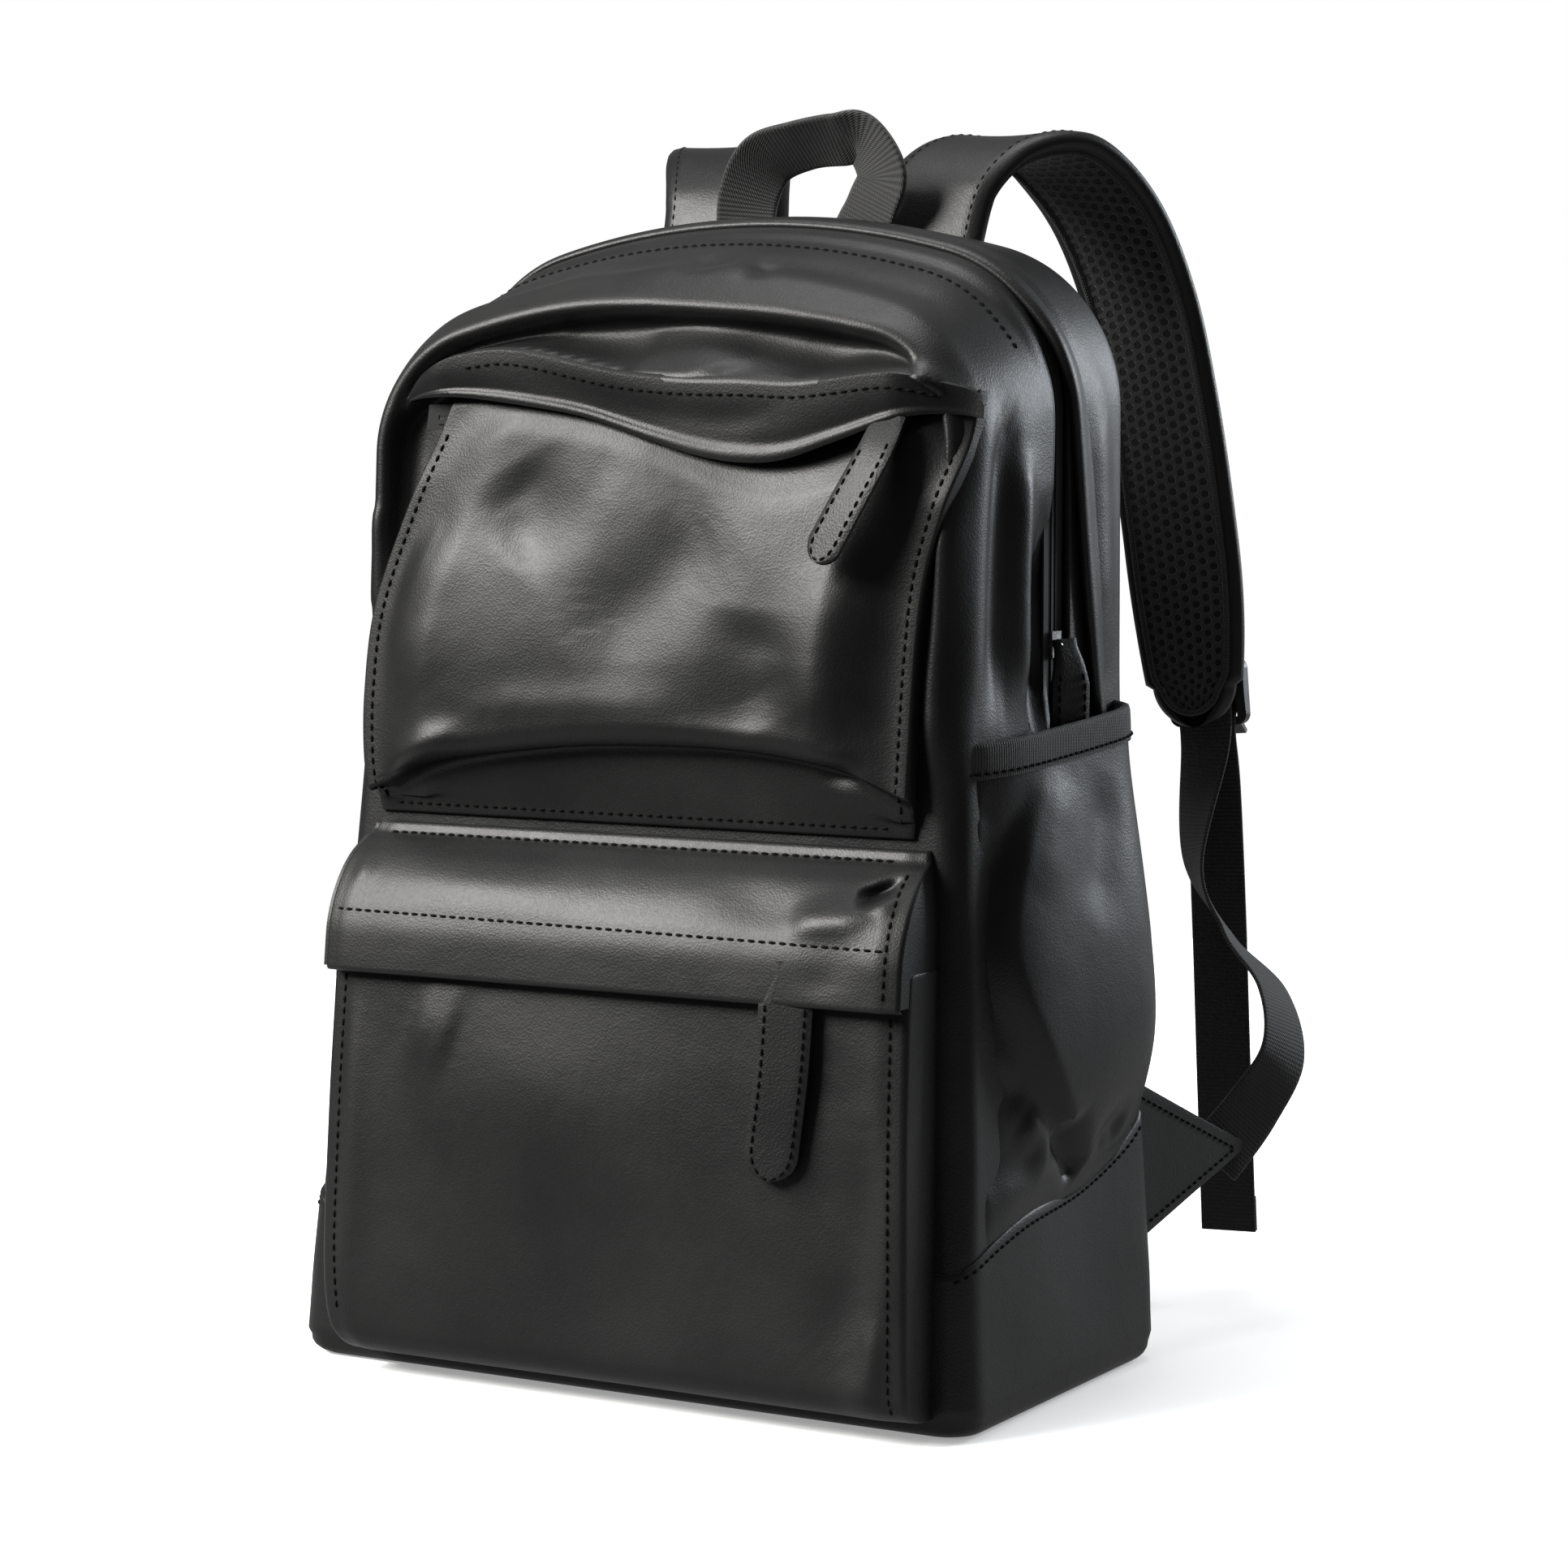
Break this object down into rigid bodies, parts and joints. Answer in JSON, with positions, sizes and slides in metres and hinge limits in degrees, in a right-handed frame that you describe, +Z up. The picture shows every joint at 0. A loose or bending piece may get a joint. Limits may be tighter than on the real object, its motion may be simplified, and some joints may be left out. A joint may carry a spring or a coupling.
{
  "type": "leather backpack",
  "caption": "Soft leather daypack: wrap-round zip over a fold-down upper front, zipped front pockets, side pockets, padded straps with ladder locks and a haul loop.",
  "frame": {"origin": "centre of the flat base, on the floor plane", "axes": "+X to the right seen from the front, +Y towards the wearer's back (shoulder strap side), +Z up"},
  "size_m": [0.3608, 0.3181, 0.4948],
  "materials": {
    "leather": "satin black leather with a fine grain",
    "base_leather": "satin black leather with a fine grain",
    "pull_leather": "doubled satin black leather, edge stitched",
    "lining": "plain woven black lining cloth",
    "zip_tape": "matt black woven tape with coil teeth",
    "zip_metal": "dark plated metal",
    "air_mesh": "black spacer mesh",
    "foam": "grey closed-cell foam",
    "piping": "black woven binding over a cord",
    "webbing": "ribbed black webbing",
    "lock_plastic": "moulded black plastic"
  },
  "bodies": {
    "bag": {"base_boot": "base_leather", "back_panel": "leather", "lower_front_panel": "leather", "side_panel_left": "leather", "side_panel_right": "leather", "rear_gusset": "leather", "bag_lining": "lining", "main_zip_rear": "zip_tape", "lower_pocket_tray": "leather", "lower_pocket_top": "leather", "lower_zip": "zip_tape", "lower_band": "leather", "back_pad_lumbar": "air_mesh", "back_pad_left": "air_mesh", "back_pad_right": "air_mesh", "laptop_sleeve": "lining", "side_pocket_right": "leather", "side_binding_right": "leather", "adjuster_webbing_right": "webbing", "strap_tab_right": "leather", "side_pocket_left": "leather", "side_binding_left": "leather", "adjuster_webbing_left": "webbing", "strap_tab_left": "leather"},
    "front_flap": {"upper_front_panel": "leather", "front_gusset": "leather", "flap_lining": "lining", "main_zip_front": "zip_tape", "upper_pocket_panel": "leather", "upper_pocket_top": "leather", "upper_zip": "zip_tape", "upper_hood": "leather"},
    "main_slider": {"main_slider": "zip_metal"},
    "main_pull": {"main_pull": "pull_leather"},
    "lower_slider": {"lower_slider": "zip_metal"},
    "lower_pull": {"lower_pull": "pull_leather"},
    "upper_slider": {"upper_slider": "zip_metal"},
    "upper_pull": {"upper_pull": "pull_leather"},
    "haul_handle": {"haul_handle": "leather"},
    "strap_left": {"strap_mesh_left": "air_mesh", "strap_foam_left": "foam", "strap_leather_left": "leather", "strap_piping_left": "piping", "strap_keeper_left": "webbing"},
    "lock_left": {"ladder_lock_left": "lock_plastic", "tail_webbing_left": "webbing"},
    "strap_right": {"strap_mesh_right": "air_mesh", "strap_foam_right": "foam", "strap_leather_right": "leather", "strap_piping_right": "piping", "strap_keeper_right": "webbing"},
    "lock_right": {"ladder_lock_right": "lock_plastic", "tail_webbing_right": "webbing"}
  },
  "joints": [
    {"name": "flap_fold", "type": "hinge", "parent": "bag", "child": "front_flap", "pos_m": [0, -0.0633, 0.216], "axis": [1, 0, 0], "range_deg": [0, 40]},
    {"name": "main_zip_slide", "type": "slide", "parent": "bag", "child": "main_slider", "axis": [0, 0, 1], "range_m": [0, 0.085]},
    {"name": "main_pull_swing", "type": "hinge", "parent": "main_slider", "child": "main_pull", "pos_m": [0.1368, 0.02, 0.285], "axis": [0, -1, 0], "range_deg": [0, 5]},
    {"name": "lower_zip_slide", "type": "slide", "parent": "bag", "child": "lower_slider", "axis": [1, 0, 0], "range_m": [-0.182, 0.02]},
    {"name": "lower_pull_swing", "type": "hinge", "parent": "lower_slider", "child": "lower_pull", "pos_m": [0.082, -0.095, 0.17234], "axis": [-1, 0, 0], "range_deg": [0, 7]},
    {"name": "upper_zip_slide", "type": "slide", "parent": "front_flap", "child": "upper_slider", "axis": [1, 0, 0], "range_m": [-0.176, 0]},
    {"name": "upper_pull_swing", "type": "hinge", "parent": "upper_slider", "child": "upper_pull", "pos_m": [0.088, -0.06031, 0.37134], "axis": [-1, 0, 0], "range_deg": [-2.5, 2.5]},
    {"name": "handle_swing", "type": "hinge", "parent": "bag", "child": "haul_handle", "pos_m": [0, 0.074, 0.4525], "axis": [1, 0, 0], "range_deg": [-20, 55]},
    {"name": "strap_swing_right", "type": "hinge", "parent": "bag", "child": "strap_right", "pos_m": [0.048, 0.084, 0.44], "axis": [1, 0, 0], "range_deg": [-3, 4], "deforming": ["adjuster_webbing_right"]},
    {"name": "lock_tilt_right", "type": "hinge", "parent": "strap_right", "child": "lock_right", "pos_m": [0.11374, 0.20623, 0.26788], "axis": [0.9965, 0.0019, 0.084], "range_deg": [-6, 25]},
    {"name": "strap_swing_left", "type": "hinge", "parent": "bag", "child": "strap_left", "pos_m": [-0.048, 0.084, 0.44], "axis": [1, 0, 0], "range_deg": [-3, 4], "deforming": ["adjuster_webbing_left"]},
    {"name": "lock_tilt_left", "type": "hinge", "parent": "strap_left", "child": "lock_left", "pos_m": [-0.11374, 0.20623, 0.26788], "axis": [0.9965, -0.0019, -0.084], "range_deg": [-6, 25]}
  ]
}
